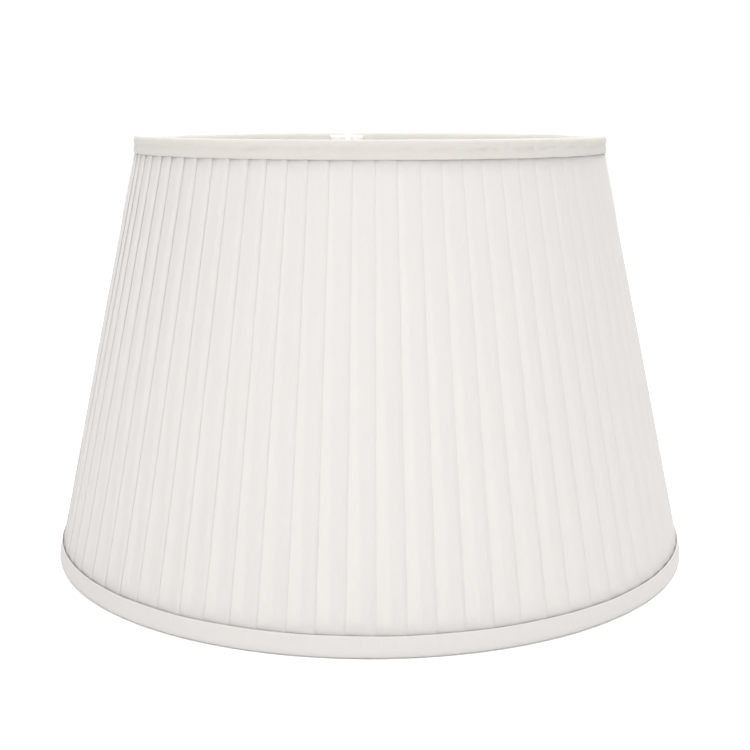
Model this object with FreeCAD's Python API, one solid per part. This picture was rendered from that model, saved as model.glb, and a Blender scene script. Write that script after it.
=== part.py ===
import FreeCAD, Part
import math
import os

# A knife-pleated empire lamp shade. Millimetres, +Z up, and the origin is at the
# middle of the plane that the shade stands on. Radii are measured from the Z axis.

V = FreeCAD.Vector
UP = V(0, 0, 1)

# overall form
HEIGHT = 261.0
BASE_RADIUS = 200.0
TOP_RADIUS = 146.5
COVER_LOW_RADIUS = 197.8
COVER_LOW_Z = 11.9
COVER_HIGH_RADIUS = 144.9
COVER_HIGH_Z = 250.6

# wire frame
RING_WIRE = 3.5
STRUT_WIRE = 2.5
ARM_WIRE = 3.0
STRUT_COUNT = 8
ARM_COUNT = 3
FIRST_ARM_ANGLE = 97.0
BOTTOM_RING_RADIUS = 197.75
BOTTOM_RING_Z = 2.25
TOP_RING_RADIUS = 142.0
TOP_RING_Z = 258.35

# layers of the wall, each given as how far it lies inside the cover's outer face
COVER_FACE = 0.4
COVER_BACK = 1.2
STRUT_AXIS = 2.6
LINING_FACE = 4.0
LINING_BACK = 4.4
INNER_HEM_FACE = 4.55
INNER_HEM_BACK = 5.0
NEATENER_FACE = 5.15
NEATENER_BACK = 5.75

# heights at which the layers start and stop
COVER_BOTTOM = 4.6
COVER_TOP = 256.0
STRUT_BOTTOM = 3.4
STRUT_TOP = 257.0
LINING_BOTTOM = 5.0
LINING_TOP = 254.9
BOTTOM_HEM_TOP = 9.5
TOP_HEM_BOTTOM = 251.5

# bottom binding
BOTTOM_FOLD_RADIUS = 2.25
BOTTOM_FOLD_Z = 2.15
BOTTOM_POCKET_RADIUS = 1.85
BOTTOM_BINDING_EDGE = 198.15
BOTTOM_BINDING_BACK = 197.65
FOLD_LEAVES_AT = 200.9
HEM_KNEE_Z = 4.6

# top binding
TOP_POCKET_RADIUS = 1.9
TOP_POCKET_LEAVES_AT = 170.0
CROWN_RADIUS = 2.8
CROWN_BACK_RADIUS = 3.1
CROWN_BACK_CENTRE = 142.1
TOP_BINDING_BOTTOM = 250.5
TOP_BINDING_LOW_RADIUS = 146.3
TOP_BINDING_BACK = 144.8
TOP_HEM_RADIUS = 139.4
TOP_HEM_SHOULDER_Z = 257.0
TOP_HEM_KNEE_Z = 255.0

# dropped fitter and its reducer ring
ARM_Z = 257.7
ARM_START = 141.5
ARM_KNEE_RADIUS = 134.0
ARM_FOOT_RADIUS = 124.0
ARM_FOOT_Z = 241.5
ARM_KNEE_BEND = 8.0
ARM_FOOT_BEND = 10.0
ARM_SLIT_GAP = 0.3
FITTER_HOLE_RADIUS = 21.0
FITTER_OUTER_RADIUS = 27.0
FITTER_BOTTOM = 237.0
FITTER_THICKNESS = 2.0
REDUCER_BORE_RADIUS = 14.5
REDUCER_SPIGOT_RADIUS = 20.6
REDUCER_FLANGE_RADIUS = 24.0
REDUCER_FLANGE_THICKNESS = 1.5
REDUCER_BOTTOM = 236.0
REDUCER_SEAT_GAP = 0.1
REDUCER_CHAMFER = 0.4

# neateners
NEATENER_BOTTOM = 246.5
NEATENER_TOP = 256.3
NEATENER_TOP_WIDTH = 26.0
NEATENER_BOTTOM_WIDTH = 13.0


def wall_radius(z, inward):
    """Radius of the layer that lies this far inside the cover's outer face."""
    slope = (COVER_LOW_RADIUS - COVER_HIGH_RADIUS) / (COVER_HIGH_Z - COVER_LOW_Z)
    return COVER_LOW_RADIUS - slope * (z - COVER_LOW_Z) - inward


def on_wall(z, inward):
    return V(wall_radius(z, inward), 0, z)


def on_circle(centre, radius, degrees):
    angle = math.radians(degrees)
    return centre + V(radius * math.cos(angle), 0, radius * math.sin(angle))


def line(start, end):
    return Part.LineSegment(start, end).toShape()


def arc(start, middle, end):
    return Part.Arc(start, middle, end).toShape()


def revolve(edges):
    """Turn a closed section in the XZ plane once round the Z axis."""
    face = Part.Face(Part.Wire(edges))
    return face.revolve(V(0, 0, 0), UP, 360)


def polygon(points):
    closed = points + points[:1]
    return [line(start, end) for start, end in zip(closed, closed[1:])]


def turned(shape, degrees):
    copy = shape.copy()
    copy.rotate(V(0, 0, 0), UP, degrees)
    return copy


def arm_angle(index):
    return FIRST_ARM_ANGLE + 360.0 / ARM_COUNT * index


def ring(radius, z):
    return Part.makeTorus(radius, RING_WIRE / 2, V(0, 0, z), UP)


def bottom_ring():
    return ring(BOTTOM_RING_RADIUS, BOTTOM_RING_Z)


def top_ring():
    return ring(TOP_RING_RADIUS, TOP_RING_Z)


def strut():
    """A straight wire under the cover, its ends notched to sit on both rings."""
    foot = on_wall(STRUT_BOTTOM, STRUT_AXIS)
    head = on_wall(STRUT_TOP, STRUT_AXIS)
    along = head - foot
    wire = Part.makeCylinder(STRUT_WIRE / 2, along.Length, foot, along)
    return wire.cut([bottom_ring(), top_ring()])


def bend(before, corner, after, radius):
    """Start, middle and end of the arc that rounds a corner of a wire."""
    back = (before - corner).normalize()
    forth = (after - corner).normalize()
    half_angle = back.getAngle(forth) / 2
    tangent = radius / math.tan(half_angle)
    middle_way = (back + forth).normalize()
    centre = corner + middle_way * (radius / math.sin(half_angle))
    return corner + back * tangent, centre - middle_way * radius, corner + forth * tangent


def arm_wire(thickness):
    """One cranked arm along +X, from the top ring in to the fitter ring."""
    start = V(ARM_START, 0, ARM_Z)
    knee = V(ARM_KNEE_RADIUS, 0, ARM_Z)
    foot = V(ARM_FOOT_RADIUS, 0, ARM_FOOT_Z)
    end = V(FITTER_HOLE_RADIUS, 0, FITTER_BOTTOM + FITTER_THICKNESS / 2)
    knee_bend = bend(start, knee, foot, ARM_KNEE_BEND)
    foot_bend = bend(knee, foot, end, ARM_FOOT_BEND)
    path = Part.Wire([
        line(start, knee_bend[0]),
        arc(*knee_bend),
        line(knee_bend[2], foot_bend[0]),
        arc(*foot_bend),
        line(foot_bend[2], end),
    ])
    outline = Part.Wire([Part.makeCircle(thickness / 2, start, V(1, 0, 0))])
    return path.makePipeShell([outline], True, False)


def spider_arm():
    fitter_disc = Part.makeCylinder(FITTER_OUTER_RADIUS, HEIGHT)
    return arm_wire(ARM_WIRE).cut([top_ring(), fitter_disc])


def cut_for_arms(shape):
    """Open a slit for each arm in a layer that it passes through."""
    slit = arm_wire(ARM_WIRE + 2 * ARM_SLIT_GAP)
    return shape.cut([turned(slit, arm_angle(index)) for index in range(ARM_COUNT)])


def fitter_ring():
    base = V(0, 0, FITTER_BOTTOM)
    disc = Part.makeCylinder(FITTER_OUTER_RADIUS, FITTER_THICKNESS, base)
    hole = Part.makeCylinder(FITTER_HOLE_RADIUS, FITTER_THICKNESS, base)
    return disc.cut(hole)


def reducer_ring():
    """A flanged plastic ring whose spigot drops into the fitter ring."""
    seat = FITTER_BOTTOM + FITTER_THICKNESS + REDUCER_SEAT_GAP
    top = seat + REDUCER_FLANGE_THICKNESS
    section = polygon([
        V(REDUCER_BORE_RADIUS, 0, REDUCER_BOTTOM),
        V(REDUCER_SPIGOT_RADIUS - REDUCER_CHAMFER, 0, REDUCER_BOTTOM),
        V(REDUCER_SPIGOT_RADIUS, 0, REDUCER_BOTTOM + REDUCER_CHAMFER),
        V(REDUCER_SPIGOT_RADIUS, 0, seat),
        V(REDUCER_FLANGE_RADIUS, 0, seat),
        V(REDUCER_FLANGE_RADIUS, 0, top - REDUCER_CHAMFER),
        V(REDUCER_FLANGE_RADIUS - REDUCER_CHAMFER, 0, top),
        V(REDUCER_BORE_RADIUS, 0, top),
    ])
    return revolve(section)


def wall_layer(bottom, top, face, back):
    """A conical layer of the wall, between two depths and two heights."""
    return revolve(polygon([
        on_wall(bottom, face),
        on_wall(top, face),
        on_wall(top, back),
        on_wall(bottom, back),
    ]))


def pleated_cover():
    return wall_layer(COVER_BOTTOM, COVER_TOP, COVER_FACE, COVER_BACK)


def lining():
    return wall_layer(LINING_BOTTOM, LINING_TOP, LINING_FACE, LINING_BACK)


def bottom_binding():
    """Cloth folded round the bottom ring, pressed flat where the shade stands."""
    fold = V(BOTTOM_RING_RADIUS, 0, BOTTOM_FOLD_Z)
    pocket = V(BOTTOM_RING_RADIUS, 0, BOTTOM_RING_Z)
    outer_edge = V(BOTTOM_BINDING_EDGE, 0, COVER_LOW_Z)
    outer_back = V(BOTTOM_BINDING_BACK, 0, COVER_LOW_Z)
    knee = on_wall(HEM_KNEE_Z, INNER_HEM_BACK)
    hem_back = on_wall(BOTTOM_HEM_TOP, INNER_HEM_BACK)
    hem_face = on_wall(BOTTOM_HEM_TOP, INNER_HEM_FACE)
    knee_face = on_wall(HEM_KNEE_Z, INNER_HEM_FACE)
    fold_start = on_circle(fold, BOTTOM_FOLD_RADIUS, 0)
    fold_end = on_circle(fold, BOTTOM_FOLD_RADIUS, FOLD_LEAVES_AT)
    pocket_start = on_circle(pocket, BOTTOM_POCKET_RADIUS, FOLD_LEAVES_AT)
    pocket_end = on_circle(pocket, BOTTOM_POCKET_RADIUS, 0)
    section = [
        line(outer_edge, fold_start),
        arc(fold_start, on_circle(fold, BOTTOM_FOLD_RADIUS, -90), fold_end),
        line(fold_end, knee),
        line(knee, hem_back),
        line(hem_back, hem_face),
        line(hem_face, knee_face),
        line(knee_face, pocket_start),
        arc(pocket_start, on_circle(pocket, BOTTOM_POCKET_RADIUS, -90), pocket_end),
        line(pocket_end, outer_back),
        line(outer_back, outer_edge),
    ]
    below = Part.makeCylinder(BASE_RADIUS, BASE_RADIUS, V(0, 0, -BASE_RADIUS))
    return revolve(section).cut(below)


def top_binding():
    """A rolled strip over the top ring, with a slit on its inside for each arm."""
    crown = V(TOP_RADIUS - CROWN_RADIUS, 0, HEIGHT - CROWN_RADIUS)
    crown_back = V(CROWN_BACK_CENTRE, 0, HEIGHT - CROWN_BACK_RADIUS)
    pocket = V(TOP_RING_RADIUS, 0, TOP_RING_Z)
    low_face = V(TOP_BINDING_LOW_RADIUS, 0, TOP_BINDING_BOTTOM)
    low_back = V(TOP_BINDING_BACK, 0, TOP_BINDING_BOTTOM)
    crown_start = on_circle(crown, CROWN_RADIUS, 0)
    crown_end = on_circle(crown, CROWN_RADIUS, 90)
    back_start = on_circle(crown_back, CROWN_BACK_RADIUS, 90)
    back_end = on_circle(crown_back, CROWN_BACK_RADIUS, 180)
    knee_back = on_wall(TOP_HEM_KNEE_Z, INNER_HEM_BACK)
    hem_back = on_wall(TOP_HEM_BOTTOM, INNER_HEM_BACK)
    hem_face = on_wall(TOP_HEM_BOTTOM, INNER_HEM_FACE)
    knee_face = on_wall(TOP_HEM_KNEE_Z, INNER_HEM_FACE)
    shoulder = V(TOP_HEM_RADIUS, 0, TOP_HEM_SHOULDER_Z)
    pocket_start = on_circle(pocket, TOP_POCKET_RADIUS, TOP_POCKET_LEAVES_AT)
    pocket_end = on_circle(pocket, TOP_POCKET_RADIUS, 0)
    section = [
        line(low_face, crown_start),
        arc(crown_start, on_circle(crown, CROWN_RADIUS, 45), crown_end),
        line(crown_end, back_start),
        arc(back_start, on_circle(crown_back, CROWN_BACK_RADIUS, 135), back_end),
        line(back_end, knee_back),
        line(knee_back, hem_back),
        line(hem_back, hem_face),
        line(hem_face, knee_face),
        line(knee_face, shoulder),
        line(shoulder, pocket_start),
        arc(pocket_start, on_circle(pocket, TOP_POCKET_RADIUS, 90), pocket_end),
        line(pocket_end, low_back),
        line(low_back, low_face),
    ]
    return cut_for_arms(revolve(section))


def neatener():
    """A folded strip under one arm, wider at the rim than below the wire."""
    layer = wall_layer(NEATENER_BOTTOM, NEATENER_TOP, NEATENER_FACE, NEATENER_BACK)
    outline = Part.Wire(polygon([
        V(0, -NEATENER_BOTTOM_WIDTH / 2, NEATENER_BOTTOM),
        V(0, NEATENER_BOTTOM_WIDTH / 2, NEATENER_BOTTOM),
        V(0, NEATENER_TOP_WIDTH / 2, NEATENER_TOP),
        V(0, -NEATENER_TOP_WIDTH / 2, NEATENER_TOP),
    ]))
    window = Part.Face(outline).extrude(V(BASE_RADIUS, 0, 0))
    slit = arm_wire(ARM_WIRE + 2 * ARM_SLIT_GAP)
    return layer.common(window).cut(slit)


def save(name, shape):
    solid = shape.Solids[0]
    if len(shape.Solids) != 1 or not solid.isValid():
        raise RuntimeError(name + " is not one sound solid")
    solid.exportStep("parts/" + name + ".step")


def main():
    os.makedirs("parts", exist_ok=True)
    save("bottom_ring", bottom_ring())
    save("top_ring", top_ring())
    one_strut = strut()
    for index in range(STRUT_COUNT):
        save("strut_%d" % (index + 1), turned(one_strut, 360.0 / STRUT_COUNT * index))
    one_arm = spider_arm()
    one_neatener = neatener()
    for index in range(ARM_COUNT):
        save("spider_arm_%d" % (index + 1), turned(one_arm, arm_angle(index)))
        save("neatener_%d" % (index + 1), turned(one_neatener, arm_angle(index)))
    save("fitter_ring", fitter_ring())
    save("reducer_ring", reducer_ring())
    save("lining", lining())
    save("pleated_cover", pleated_cover())
    save("bottom_binding", bottom_binding())
    save("top_binding", top_binding())


main()
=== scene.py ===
import bmesh
import bpy
import math
import random
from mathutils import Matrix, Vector, noise


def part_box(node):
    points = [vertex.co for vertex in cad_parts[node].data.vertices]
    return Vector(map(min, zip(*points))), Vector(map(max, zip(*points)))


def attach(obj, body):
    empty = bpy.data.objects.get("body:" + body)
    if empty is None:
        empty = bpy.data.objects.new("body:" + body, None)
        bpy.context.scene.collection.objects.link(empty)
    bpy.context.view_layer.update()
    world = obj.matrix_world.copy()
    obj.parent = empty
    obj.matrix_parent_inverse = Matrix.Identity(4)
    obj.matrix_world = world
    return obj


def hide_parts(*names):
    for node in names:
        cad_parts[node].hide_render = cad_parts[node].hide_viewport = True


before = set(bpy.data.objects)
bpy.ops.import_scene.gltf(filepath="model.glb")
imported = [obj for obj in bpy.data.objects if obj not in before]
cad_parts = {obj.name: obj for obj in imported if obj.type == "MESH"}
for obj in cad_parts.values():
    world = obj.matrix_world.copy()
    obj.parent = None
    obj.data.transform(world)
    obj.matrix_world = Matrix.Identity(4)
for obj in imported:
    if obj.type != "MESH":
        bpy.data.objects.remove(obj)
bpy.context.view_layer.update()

# Wire frame. Two steel hoops joined by eight straight struts, with three cranked arms
# that carry a flat fitter washer. It is spot-welded, then powder-coated white.
MM = 0.001
STRUTS = 8
ARMS = 3


def new_material(name, colour, roughness):
    """A material with its node tree, and its Principled shader set up."""
    material = bpy.data.materials.new(name)
    material.use_nodes = True
    nodes = material.node_tree.nodes
    shader = nodes["Principled BSDF"]
    shader.inputs["Base Color"].default_value = (*colour, 1.0)
    shader.inputs["Roughness"].default_value = roughness
    return material, nodes, material.node_tree.links, shader


def noise_texture(nodes, links, place, scale, detail):
    """Soft noise at this place, from 0 to 1."""
    texture = nodes.new("ShaderNodeTexNoise")
    texture.inputs["Scale"].default_value = scale
    texture.inputs["Detail"].default_value = detail
    links.new(place, texture.inputs["Vector"])
    return texture.outputs["Fac"]


def two_tones(nodes, links, factor, dark, light, low=0.35, high=0.65):
    """A ramp between two colours, for the small unevenness of a real finish."""
    ramp = nodes.new("ShaderNodeValToRGB")
    ramp.color_ramp.elements[0].position = low
    ramp.color_ramp.elements[0].color = (*dark, 1.0)
    ramp.color_ramp.elements[1].position = high
    ramp.color_ramp.elements[1].color = (*light, 1.0)
    links.new(factor, ramp.inputs["Fac"])
    return ramp.outputs["Color"]


def raise_surface(nodes, links, shader, height, distance, strength):
    """Fine relief, too shallow to model."""
    bump = nodes.new("ShaderNodeBump")
    bump.inputs["Distance"].default_value = distance
    bump.inputs["Strength"].default_value = strength
    links.new(height, bump.inputs["Height"])
    links.new(bump.outputs["Normal"], shader.inputs["Normal"])


def powder_coat():
    """Sprayed white coat with a fine orange-peel surface."""
    material, nodes, links, shader = new_material(
        "powder_coat", colour=(0.86, 0.86, 0.85), roughness=0.38)
    place = nodes.new("ShaderNodeTexCoord").outputs["Object"]
    peel = noise_texture(nodes, links, place, scale=900.0, detail=2.0)
    patches = noise_texture(nodes, links, place, scale=40.0, detail=3.0)
    tone = two_tones(nodes, links, patches, dark=(0.82, 0.82, 0.80), light=(0.88, 0.88, 0.87))
    links.new(tone, shader.inputs["Base Color"])
    raise_surface(nodes, links, shader, peel, distance=0.05 * MM, strength=0.5)
    return material


def finish_node(name, material):
    """Give a CAD node its real finish; its shape stays as it is."""
    for material_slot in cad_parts[name].material_slots:
        material_slot.material = material


coat = powder_coat()
wires = ["bottom_ring", "top_ring", "fitter_ring"]
wires += ["strut_%d" % (number + 1) for number in range(STRUTS)]
wires += ["spider_arm_%d" % (number + 1) for number in range(ARMS)]
for wire in wires:
    finish_node(wire, coat)


# Reducer ring. A loose flanged ring of moulded white plastic, which drops into the
# fitter washer from above and makes its hole fit a small lampholder.
def moulded_plastic():
    """Slightly warm white plastic with a fine moulded grain."""
    material, nodes, links, shader = new_material(
        "moulded_plastic", colour=(0.85, 0.84, 0.80), roughness=0.42)
    shader.inputs["IOR"].default_value = 1.49
    place = nodes.new("ShaderNodeTexCoord").outputs["Object"]
    flow = noise_texture(nodes, links, place, scale=120.0, detail=4.0)
    tone = two_tones(nodes, links, flow, dark=(0.82, 0.81, 0.77), light=(0.87, 0.86, 0.83))
    links.new(tone, shader.inputs["Base Color"])
    grain = noise_texture(nodes, links, place, scale=2500.0, detail=1.0)
    raise_surface(nodes, links, shader, grain, distance=0.03 * MM, strength=0.4)
    return material


finish_node("reducer_ring", moulded_plastic())


# Lining. Smooth fine white cloth cut on the cross, stretched over the inside of the
# struts in two halves, and sewn to both hoops. It bows in a little between the struts.
LINING_CLOTH = 0.25 * MM
LINING_BOW = 2.2 * MM
LINING_COLUMNS = 90 * STRUTS
LINING_ROWS = 16
SEAM_HALF = 2.2 * MM
SEAM_HEIGHT = 0.45 * MM
SAME_LEVEL = 0.01 * MM
WELD_GAP = 0.002 * MM
# the width of one band of the wave texture at scale 1
WAVE_BAND = math.pi / 10.0


def rim_radius(node, height):
    """Outer radius of a turned CAD node at one of its flat ends."""
    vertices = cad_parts[node].data.vertices
    level = [v.co for v in vertices if abs(v.co.z - height) < SAME_LEVEL]
    return max(math.hypot(co.x, co.y) for co in level)


def cone_of(node):
    """The outer face of a conical CAD node, as a function from height to radius."""
    low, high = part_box(node)
    foot = rim_radius(node, low.z)
    head = rim_radius(node, high.z)
    return lambda z: foot + (head - foot) * (z - low.z) / (high.z - low.z)


def on_front(radius, turn, z):
    """The point at this angle from the front, turning towards the viewer's right."""
    return Vector((radius * math.sin(turn), -radius * math.cos(turn), z))


def cloth_piece(name, columns, rows, lay, measure, thickness, material):
    """A flat cut of cloth, laid point by point, joined into a ring where its ends meet, and
    given its thickness. The functions lay and measure take the two shares, from 0 to 1, of
    the way along and across the cut. The UV map is the flat cut, in metres."""
    bm = bmesh.new()
    flat = bm.loops.layers.uv.new("cloth")
    bmesh.ops.create_grid(bm, x_segments=columns, y_segments=rows, size=0.5)
    for face in bm.faces:
        for loop in face.loops:
            loop[flat].uv = measure(loop.vert.co.x + 0.5, loop.vert.co.y + 0.5)
    for vert in bm.verts:
        vert.co = lay(vert.co.x + 0.5, vert.co.y + 0.5)
    bmesh.ops.remove_doubles(bm, verts=bm.verts, dist=WELD_GAP)
    for face in bm.faces:
        face.smooth = True
    mesh = bpy.data.meshes.new(name)
    bm.to_mesh(mesh)
    bm.free()
    mesh.materials.append(material)
    piece = bpy.data.objects.new(name, mesh)
    bpy.context.scene.collection.objects.link(piece)
    solid = piece.modifiers.new("thickness", "SOLIDIFY")
    solid.thickness = thickness
    solid.offset = 0.0
    return piece


def woven_cloth(name, shade, light, thread, see_through, relief):
    """Plain-woven cotton: crossed threads in relief, slubs and faint unevenness in tone,
    and some of the light that falls on it shows through."""
    material, nodes, links, shader = new_material(name, colour=light, roughness=0.8)
    shader.inputs["Specular IOR Level"].default_value = 0.2
    shader.inputs["Sheen Weight"].default_value = 0.05
    shader.inputs["Sheen Roughness"].default_value = 0.5
    flat = nodes.new("ShaderNodeUVMap")
    flat.uv_map = "cloth"
    place = flat.outputs["UV"]
    threads = []
    for direction in ("X", "Y"):
        wave = nodes.new("ShaderNodeTexWave")
        wave.bands_direction = direction
        wave.inputs["Scale"].default_value = WAVE_BAND / thread
        wave.inputs["Distortion"].default_value = 0.6
        links.new(place, wave.inputs["Vector"])
        threads.append(wave.outputs["Fac"])
    crossing = nodes.new("ShaderNodeMath")
    crossing.operation = "MULTIPLY"
    links.new(threads[0], crossing.inputs[0])
    links.new(threads[1], crossing.inputs[1])
    raise_surface(nodes, links, shader, crossing.outputs["Value"], relief, strength=0.35)
    stretch = nodes.new("ShaderNodeMapping")
    stretch.inputs["Scale"].default_value = (1.0, 0.12, 1.0)
    links.new(place, stretch.inputs["Vector"])
    slubs = noise_texture(nodes, links, stretch.outputs["Vector"], scale=1600.0, detail=2.0)
    tone = two_tones(nodes, links, slubs, shade, light, low=0.3, high=0.7)
    links.new(tone, shader.inputs["Base Color"])
    glow = nodes.new("ShaderNodeBsdfTranslucent")
    links.new(tone, glow.inputs["Color"])
    mix = nodes.new("ShaderNodeMixShader")
    mix.inputs["Fac"].default_value = see_through
    links.new(shader.outputs["BSDF"], mix.inputs[1])
    links.new(glow.outputs["BSDF"], mix.inputs[2])
    links.new(mix.outputs["Shader"], nodes["Material Output"].inputs["Surface"])
    return material


lining_radius = cone_of("lining")
lining_low, lining_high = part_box("lining")
lining_cloth = woven_cloth(
    "lining_cloth", shade=(0.93, 0.918, 0.90), light=(0.95, 0.94, 0.925), thread=0.3 * MM,
    see_through=0.5, relief=0.05 * MM)
lining_height = lining_high.z - lining_low.z
lining_middle = lining_radius((lining_low.z + lining_high.z) / 2)


def lay_lining(u, v):
    turn = u * 2 * math.pi
    z = lining_low.z + v * lining_height
    between = (1 - math.cos(STRUTS * turn)) / 2
    bow = LINING_BOW * between * math.sin(math.pi * v)
    off_seam = abs((turn % math.pi) - math.pi / 2) * lining_middle
    seam = SEAM_HEIGHT * math.exp(-(off_seam / SEAM_HALF) ** 4)
    return on_front(lining_radius(z) - LINING_CLOTH - bow - seam, turn, z)


def measure_lining(u, v):
    return u * 2 * math.pi * lining_middle, v * lining_height


lining = cloth_piece(
    "lining_sheet", LINING_COLUMNS, LINING_ROWS, lay_lining, measure_lining, LINING_CLOTH,
    lining_cloth)
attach(lining, "shade")
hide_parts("lining")


# Pleated cover. One long strip of plain white cotton, laid in soft knife pleats whose
# folds all face the viewer's right, drawn from hoop to hoop, so they close up at the top.
PLEATS = 78
PLEAT_CLOTH = 31.0 * MM
COVER_CLOTH = 0.11 * MM
COVER_PROUD = 0.5 * MM
FIRST_FOLD = math.radians(0.8)
LAYER_STEP = 1.15 * COVER_CLOTH
PLEAT_DEPTH = 1.0 * MM
FULLEST = 0.85 * MM
TOP_FLUSH = 0.3 * MM
FOOT_FLUSH = 0.45 * MM
FOLD_RADIUS = LAYER_STEP / 2
FOLD_COLUMNS = 4
FLANK_COLUMNS = 5
FACE_COLUMNS = 10
PLEAT_COLUMNS = FOLD_COLUMNS + FLANK_COLUMNS + FACE_COLUMNS + 3
COVER_ROWS = 16
SLACK_SIDE = math.radians(48)
SLACK_SHARPNESS = 7
LOOSE_ROLL = 1.4 * MM
LOOSE_DIP = 0.22 * MM
DIP_PLACE = 0.3
DIP_WIDTH = 2.6 * MM
# how far folds stray round the shade, how far they wander from foot to top, and fullness
SWAY = 0.35 * MM
DRIFT = 0.5 * MM
LEAST_FULL = 0.85
# in mm: the slope beside a fold and the ridge behind it, with what is added half-way up
FLANK = 1.5
FLANK_MIDDLE = 1.2
FLANK_LOOSE = 0.7
RIDGE = 2.0
RIDGE_MIDDLE = 2.5
# where a pleat's face comes down off the lap under it
LAP_START = 0.85
LAP_RUN = 3.0 * MM
# rise of the tight and the loose pleats at the top, and its change towards the foot
TIGHT_RISE = 0.08
TIGHT_GAIN = 0.42
TIGHT_SPAN = (0.15, 0.6)
LOOSE_RISE = 1.5
LOOSE_LOSS = 1.1
LOOSE_SPAN = (0.4, 1.0)
# spans near the foot and the top where the pleats are pressed, made flush, or hollowed
PRESSED_RISE = 0.15
PRESSED_FOOT = (0.0, 0.1)
PRESSED_TOP = (0.02, 0.08)
TOP_FLUSH_SPAN = (0.93, 0.98)
FOOT_FLUSH_SPAN = (0.92, 0.97)
HOLLOW_FOOT = (0.1, 0.6)
HOLLOW_TOP = (0.7, 1.0)
HOLLOW_LOSS = 0.5
# pleats that stand out from their neighbours, and how much
PROUD_PLEATS = {67: 1.6, 40: 1.3, 23: 1.25}
# folds that were laid well out of their even place
MISPLACED = {67: 2.4 * MM, 31: -0.9 * MM}

cover_radius = cone_of("pleated_cover")
cover_low, cover_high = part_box("pleated_cover")
cover_height = cover_high.z - cover_low.z
lean = math.atan2(cover_radius(cover_low.z) - cover_radius(cover_high.z), cover_height)

random.seed(11)
sway = [random.uniform(-SWAY, SWAY) + MISPLACED.get(k, 0.0) for k in range(PLEATS)]
drift = [random.uniform(-DRIFT, DRIFT) for _ in range(PLEATS)]
fullness = [random.uniform(LEAST_FULL, 1.0) * PROUD_PLEATS.get(k, 1.0) for k in range(PLEATS)]


def slack(turn):
    """The cover was drawn less tight on one side of the shade, so its pleats swell more."""
    return (0.5 + 0.5 * math.cos(turn + SLACK_SIDE)) ** SLACK_SHARPNESS


pleat_slack = [slack(FIRST_FOLD - k * 2 * math.pi / PLEATS) for k in range(PLEATS)]


def fold_place(pleat, v):
    """Where a pleat's fold edge lies, as a distance round the shade from its even place."""
    return sway[pleat % PLEATS] + drift[pleat % PLEATS] * (v - 0.5)


def smooth_step(low, high, x):
    """A soft rise from 0 at low to 1 at high."""
    x = min(max((x - low) / (high - low), 0.0), 1.0)
    return x * x * (3 - 2 * x)


def swell(pleat, v):
    """How high the cloth of a pleat rises beside its fold. Tight pleats lie flattest at the
    top and loose ones at the foot, and both bindings press them down."""
    pressed = smooth_step(*PRESSED_FOOT, v) * smooth_step(*PRESSED_TOP, 1 - v)
    loose = pleat_slack[pleat]
    tight_rise = TIGHT_RISE + TIGHT_GAIN * smooth_step(*TIGHT_SPAN, 1 - v)
    loose_rise = LOOSE_RISE - LOOSE_LOSS * smooth_step(*LOOSE_SPAN, 1 - v)
    rise = loose * loose_rise + (1 - loose) * tight_rise
    return FULLEST * rise * fullness[pleat] * (PRESSED_RISE + (1 - PRESSED_RISE) * pressed)


def pleat_point(column, pitch, lap, rise, loose, v):
    """How far a point of one pleat lies behind its fold edge, and how deep."""
    flank = (FLANK + (FLANK_MIDDLE + FLANK_LOOSE * loose) * math.sin(math.pi * v) ** 2) * MM
    ridge = (RIDGE + RIDGE_MIDDLE * math.sin(math.pi * v)) * MM
    base = PLEAT_DEPTH - TOP_FLUSH * smooth_step(*TOP_FLUSH_SPAN, v)
    base -= FOOT_FLUSH * smooth_step(*FOOT_FLUSH_SPAN, 1 - v)
    shelf = base - 2 * LAYER_STEP
    if column < FOLD_COLUMNS:
        angle = math.pi * column / FOLD_COLUMNS
        return FOLD_RADIUS * (1 - math.sin(angle)), shelf + FOLD_RADIUS * (1 + math.cos(angle))
    column -= FOLD_COLUMNS
    if column < FLANK_COLUMNS:
        x = column / FLANK_COLUMNS
        return FOLD_RADIUS + flank * x, shelf - rise * smooth_step(0.0, 1.0, x)
    column -= FLANK_COLUMNS
    if column < FACE_COLUMNS:
        x = column / (FACE_COLUMNS - 1)
        along = FOLD_RADIUS + flank + (pitch - FOLD_RADIUS - flank) * x
        fall = math.exp(-0.5 * ((along - FOLD_RADIUS - flank) / ridge) ** 2)
        drop = 2 * LAYER_STEP * smooth_step(LAP_START * lap, min(pitch, lap + LAP_RUN), along)
        bare = (pitch - DIP_PLACE * (pitch - lap) - along) / DIP_WIDTH
        hollow = smooth_step(*HOLLOW_FOOT, v) * (1 - HOLLOW_LOSS * smooth_step(*HOLLOW_TOP, v))
        dip = LOOSE_DIP * loose * hollow * math.exp(-bare * bare)
        return along, shelf - rise * fall + drop + dip
    tuck = column - FACE_COLUMNS
    far = pitch + lap - (0.0 if tuck == 1 else FOLD_RADIUS)
    return far, base - FOLD_RADIUS * tuck


def lay_cover(u, v):
    column = round(u * PLEATS * PLEAT_COLUMNS)
    pleat, column = divmod(column, PLEAT_COLUMNS)
    z = cover_low.z + v * cover_height
    radius = cover_radius(z) + COVER_PROUD
    even_pitch = 2 * math.pi * radius / PLEATS
    start = fold_place(pleat, v)
    pitch = even_pitch + fold_place(pleat + 1, v) - start
    lap = (PLEAT_CLOTH - even_pitch) / 2
    loose = pleat_slack[pleat % PLEATS]
    along, deep = pleat_point(column, pitch, lap, swell(pleat % PLEATS, v), loose, v)
    along -= LOOSE_ROLL * loose
    turn = FIRST_FOLD - (pleat * even_pitch + start + along) / radius
    return on_front(radius - deep * math.cos(lean), turn, z - deep * math.sin(lean))


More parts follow.
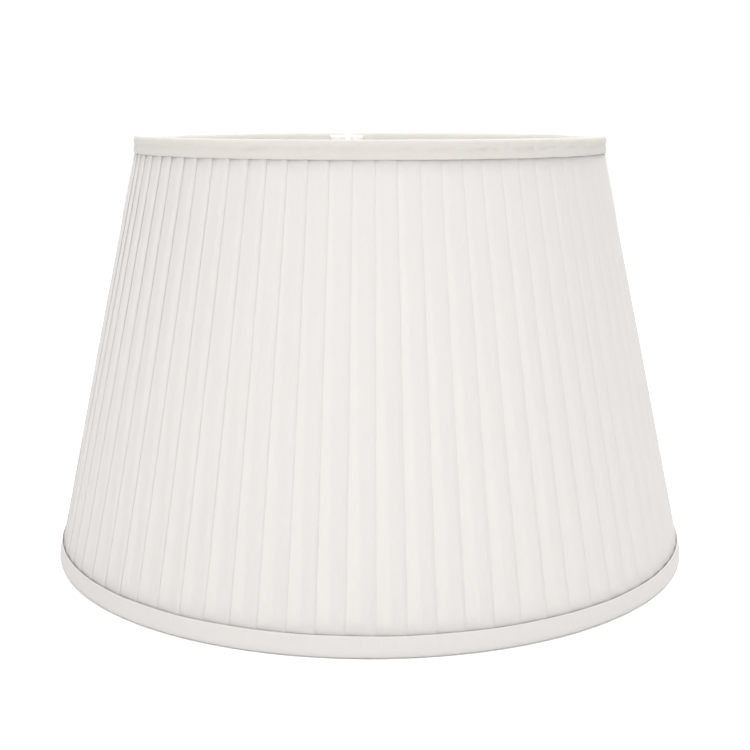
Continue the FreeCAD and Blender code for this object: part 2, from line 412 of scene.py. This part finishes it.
def cloth_used():
    """The length of cloth from the start of an even, tight pleat to each of its columns."""
    pitch = 2 * math.pi * cover_radius((cover_low.z + cover_high.z) / 2) / PLEATS
    lap = (PLEAT_CLOTH - pitch) / 2
    columns = range(PLEAT_COLUMNS)
    points = [Vector(pleat_point(k, pitch, lap, swell(0, 0.5), 0.0, 0.5)) for k in columns]
    points.append(points[0] + Vector((pitch, 0.0)))
    used = [0.0]
    for before, after in zip(points, points[1:]):
        used.append(used[-1] + (after - before).length)
    return used


used_cloth = cloth_used()


def measure_cover(u, v):
    pleat, column = divmod(round(u * PLEATS * PLEAT_COLUMNS), PLEAT_COLUMNS)
    return pleat * used_cloth[-1] + used_cloth[column], v * cover_height / math.cos(lean)


cover_cloth = woven_cloth(
    "cover_cloth", shade=(0.69, 0.67, 0.652), light=(0.705, 0.685, 0.667), thread=0.45 * MM,
    see_through=0.46, relief=0.08 * MM)
cover = cloth_piece(
    "pleated_cover_cloth", PLEATS * PLEAT_COLUMNS, COVER_ROWS, lay_cover, measure_cover,
    COVER_CLOTH, cover_cloth)
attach(cover, "shade")
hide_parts("pleated_cover")


# Top binding. A strip of cotton like the cover's, cut on the bias, rolled over the top hoop
# to hide the raw edges, with a round crown and a crease under it. Its inside is painted
# paler: painted light, for the light that reaches the inside of the rim from within the shade.
BINDING_CLOTH = 0.4 * MM
TOP_COLUMNS = 480
INNER_INSET = 5.5 * MM
# the crease follows this point of the section and takes in so many points beside it
CREASE_POINT = 10
CREASE_REACH = 1.6
# in mm: the wrinkles of the twisted cloth, and the wander of the crease and the whole strip
WRINKLE = 0.8
WRINKLE_BIAS = 0.3
CREASE_WANDER = 0.9
STRIP_WANDER = 0.12
# how far the waves and the wrinkles slant from one point of the section to the next
WAVE_SLANT = 0.02
WRINKLE_SLANT = 0.05
# the overlap where the strip's ends meet: its place, half width, points and rise in mm
JOIN_PLACE = math.radians(9)
JOIN_HALF = math.radians(1.1)
JOIN_POINTS = range(4, 10)
JOIN_RISE = 0.35
JOIN_SWELL = 0.15
# where the strip was rolled on last: share of wrinkles there and elsewhere
LAST_PLACE = math.radians(40)
LAST_REACH = math.radians(28)
LEAST_WRINKLED = 0.35
# each point of the strip's section: how far inside the shade's top radius, and below its top
TOP_SECTION = [
    (7.4, 9.4), (8.1, 7.6), (7.9, 5.6), (7.4, 3.2), (6.6, 1.2), (5.0, 0.1), (3.4, 0.0),
    (2.2, 0.8), (1.55, 2.3), (1.6, 3.6), (2.15, 4.5), (2.05, 5.4), (1.6, 6.9), (1.5, 8.4),
    (1.65, 9.6), (1.85, 10.2), (2.05, 10.0), (2.25, 8.8),
]

top_low, top_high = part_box("top_binding")
TOP_RADIUS = (top_high.x - top_low.x + top_high.y - top_low.y) / 4


def section_length(section):
    points = [Vector(point) for point in section]
    return sum((b - a).length for a, b in zip(points, points[1:])) * MM


def round_noise(turn, height, round_scale, height_scale, seed):
    """Smooth noise that meets itself after one turn."""
    return noise.noise(Vector((
        round_scale * math.cos(turn) + seed,
        round_scale * math.sin(turn),
        height_scale * height,
    )))


def wrinkle_share(turn):
    """The strip was twisted more where it was rolled on last."""
    last = math.exp(-((turn - LAST_PLACE) / LAST_REACH) ** 2)
    return LEAST_WRINKLED + (1 - LEAST_WRINKLED) * last


def lay_top_binding(u, v):
    turn = u * 2 * math.pi
    signed = (turn + math.pi) % (2 * math.pi) - math.pi
    step = round(v * (len(TOP_SECTION) - 1))
    inset, below = TOP_SECTION[step]
    wave = round_noise(
        turn + WAVE_SLANT * step, 0.0, round_scale=9.0, height_scale=0.0, seed=3.1)
    twist = round_noise(
        turn + WRINKLE_SLANT * step, step, round_scale=26.0, height_scale=0.15, seed=9.7)
    share = wrinkle_share(signed)
    crease = math.exp(-((step - CREASE_POINT) / CREASE_REACH) ** 2)
    inset += WRINKLE * share * (twist - WRINKLE_BIAS) + WRINKLE * crease * share * twist
    below += CREASE_WANDER * wave * crease * share + STRIP_WANDER * wave
    join = math.exp(-((signed - JOIN_PLACE) / JOIN_HALF) ** 2)
    if step in JOIN_POINTS:
        below -= JOIN_RISE * join
        inset -= JOIN_SWELL * join
    radius = TOP_RADIUS - inset * MM
    return on_front(radius, turn, top_high.z - below * MM)


def measure_top_binding(u, v):
    return u * 2 * math.pi * TOP_RADIUS, v * section_length(TOP_SECTION)


binding_cloth = woven_cloth(
    "binding_cloth", shade=(0.54, 0.513, 0.483), light=(0.555, 0.528, 0.498),
    thread=0.45 * MM, see_through=0.3, relief=0.08 * MM)
top_binding = cloth_piece(
    "top_binding_strip", TOP_COLUMNS, len(TOP_SECTION) - 1, lay_top_binding,
    measure_top_binding, BINDING_CLOTH, binding_cloth)


def soften(piece):
    """Round the few points of a section into curves, before the cloth gets its thickness."""
    curve = piece.modifiers.new("round", "SUBSURF")
    curve.levels = 1
    curve.render_levels = 1
    piece.modifiers.move(len(piece.modifiers) - 1, 0)


soften(top_binding)
# A paler copy of the binding cloth for the strip's inside: painted light, for the light that
# reaches the inside of the rim from within the shade.
inner_cloth_painted_light = woven_cloth(
    "inner_cloth_painted_light", shade=(0.7, 0.675, 0.645), light=(0.715, 0.69, 0.66), thread=0.45 * MM,
    see_through=0.3, relief=0.08 * MM)
top_binding.data.materials.append(inner_cloth_painted_light)
for face in top_binding.data.polygons:
    if TOP_RADIUS - math.hypot(face.center.x, face.center.y) > INNER_INSET:
        face.material_index = 1
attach(top_binding, "shade")
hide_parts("top_binding")


# Bottom binding. A flatter strip of cotton, stuck down over the bottom hoop, with its upper
# edge turned under. The shade stands on it. Its cloth is painted slightly paler than the top
# binding's: painted light, for the light it misses so close to the floor.
BOTTOM_COLUMNS = 480
# in mm, with the number of points each one moves: unevenness of the front and of the edge
FRONT_POINTS = 7
FRONT_UNEVEN = 0.1
FRONT_SLANT = 0.03
EDGE_POINTS = 4
EDGE_WANDER = 0.25
# each point of the strip's section: how far inside the shade's base radius, and above its base
BOTTOM_SECTION = [
    (2.3, 10.4), (2.15, 11.5), (1.85, 12.05), (1.6, 11.5), (1.45, 10.2), (0.95, 7.4),
    (0.35, 4.6), (0.0, 2.8), (0.25, 1.3), (1.2, 0.3), (2.4, 0.22), (3.5, 0.5), (4.3, 1.4),
    (5.1, 3.4), (6.1, 6.5), (6.6, 9.4),
]

bottom_low, bottom_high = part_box("bottom_binding")
BASE_RADIUS = (bottom_high.x - bottom_low.x + bottom_high.y - bottom_low.y) / 4


def lay_bottom_binding(u, v):
    turn = u * 2 * math.pi
    step = round(v * (len(BOTTOM_SECTION) - 1))
    inset, above = BOTTOM_SECTION[step]
    if step < FRONT_POINTS:
        inset += FRONT_UNEVEN * round_noise(
            turn + FRONT_SLANT * step, step, round_scale=22.0, height_scale=0.2, seed=5.3)
    if step < EDGE_POINTS:
        above += EDGE_WANDER * round_noise(
            turn, 0.0, round_scale=7.0, height_scale=0.0, seed=2.2)
    return on_front(BASE_RADIUS - inset * MM, turn, bottom_low.z + above * MM)


def measure_bottom_binding(u, v):
    return u * 2 * math.pi * BASE_RADIUS, v * section_length(BOTTOM_SECTION)


# A slightly paler copy of the binding cloth: painted light, for the light the foot misses so
# close to the floor.
foot_cloth_painted_light = woven_cloth(
    "foot_cloth_painted_light", shade=(0.586, 0.567, 0.548), light=(0.601, 0.582, 0.563),
    thread=0.45 * MM, see_through=0.3, relief=0.08 * MM)
bottom_binding = cloth_piece(
    "bottom_binding_strip", BOTTOM_COLUMNS, len(BOTTOM_SECTION) - 1, lay_bottom_binding,
    measure_bottom_binding, BINDING_CLOTH, foot_cloth_painted_light)
soften(bottom_binding)
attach(bottom_binding, "shade")
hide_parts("bottom_binding")


# Neateners. Short strips of lining cloth, each gathered round an arm close to the rim,
# with its ends drawn up, spread and tucked under the top binding.
NEATENER_FOOT = 6.5 * MM
NEATENER_HEAD = 12.2 * MM
NEATENER_LOW = 246.8 * MM
NEATENER_HIGH = 258.2 * MM
NEATENER_CLOTH = 0.4 * MM
NEATENER_FOLDS = 3
NEATENER_COLUMNS = 48
NEATENER_ROWS = 12
# in mm: how far inside the rim the strip lies, how deep its folds are, and how far it
# lifts over the arm and rises at its ends
NEATENER_INSET = 8.4
FOLD_DEPTH = 0.45
ARM_LIFT = 1.4
ARM_REACH = 0.35
END_RISE = 1.6
# how much of the folds and of the lift is lost towards the head
FOLD_FOOT = 1.1
FOLD_LOSS = 0.6
LIFT_LOSS = 0.5

for number in range(ARMS):
    name = "neatener_%d" % (number + 1)
    low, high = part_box(name)
    middle = (low + high) / 2
    arm_turn = math.atan2(middle.x, -middle.y)

    def lay_neatener(u, v, arm_turn=arm_turn):
        side = 2 * u - 1
        half = NEATENER_FOOT + (NEATENER_HEAD - NEATENER_FOOT) * math.sin(math.pi * v / 2)
        z = NEATENER_LOW + v * (NEATENER_HIGH - NEATENER_LOW)
        z += END_RISE * MM * (1 - v) * side * side
        fold = math.cos(math.pi * NEATENER_FOLDS * side) * (FOLD_FOOT - FOLD_LOSS * v)
        lift = ARM_LIFT * math.exp(-(side / ARM_REACH) ** 2) * (1 - LIFT_LOSS * v)
        radius = TOP_RADIUS - (NEATENER_INSET + FOLD_DEPTH * fold + lift) * MM
        return on_front(radius, arm_turn + side * half / radius, z)

    def measure_neatener(u, v):
        return u * 2 * NEATENER_HEAD, v * (NEATENER_HIGH - NEATENER_LOW)

    neatener = cloth_piece(
        name + "_strip", NEATENER_COLUMNS, NEATENER_ROWS, lay_neatener, measure_neatener,
        NEATENER_CLOTH, lining_cloth)
    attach(neatener, "shade")
    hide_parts(name)


# Studio. A plain white floor, an even white surround, soft lights from the front, from
# behind and from above, and the camera a little above the shade's top.
FLOOR_HALF = 2.6


def studio_floor():
    bm = bmesh.new()
    bmesh.ops.create_grid(bm, x_segments=1, y_segments=1, size=FLOOR_HALF)
    mesh = bpy.data.meshes.new("floor")
    bm.to_mesh(mesh)
    bm.free()
    paint = new_material("floor_paint", colour=(0.91, 0.92, 0.93), roughness=0.9)[0]
    mesh.materials.append(paint)
    floor = bpy.data.objects.new("floor", mesh)
    bpy.context.scene.collection.objects.link(floor)


def soft_light(name, place, aim, size, power):
    data = bpy.data.lights.new(name, "AREA")
    data.shape = "SQUARE"
    data.size = size
    data.energy = power
    light = bpy.data.objects.new(name, data)
    bpy.context.scene.collection.objects.link(light)
    light.location = place
    light.rotation_euler = (Vector(aim) - Vector(place)).to_track_quat("-Z", "Y").to_euler()


studio_floor()
world = bpy.data.worlds.new("surround")
bpy.context.scene.world = world
world.use_nodes = True
background = world.node_tree.nodes["Background"]
background.inputs["Color"].default_value = (1.0, 1.0, 1.0, 1.0)
background.inputs["Strength"].default_value = 1.0
soft_light("front_light", place=(-0.2, -2.4, 0.68), aim=(0.0, 0.0, 0.1), size=1.2, power=27.0)
soft_light("back_light", place=(0.6, 1.6, 2.1), aim=(0.0, 0.0, 0.2), size=1.0, power=45.0)
soft_light("top_light", place=(0.0, 0.2, 2.6), aim=(0.0, 0.0, 0.0), size=3.2, power=92.0)
bpy.context.scene.view_settings.view_transform = "Standard"

camera_data = bpy.data.cameras.new("camera")
camera_data.lens = 62.1
camera_data.sensor_width = 36.0
camera_data.shift_x = 0.0067
camera = bpy.data.objects.new("camera", camera_data)
bpy.context.scene.collection.objects.link(camera)
camera.location = (0.0, -0.8202, 0.2759)
camera.rotation_euler = (math.radians(90 - 11.56), 0.0, 0.0)
bpy.context.scene.camera = camera
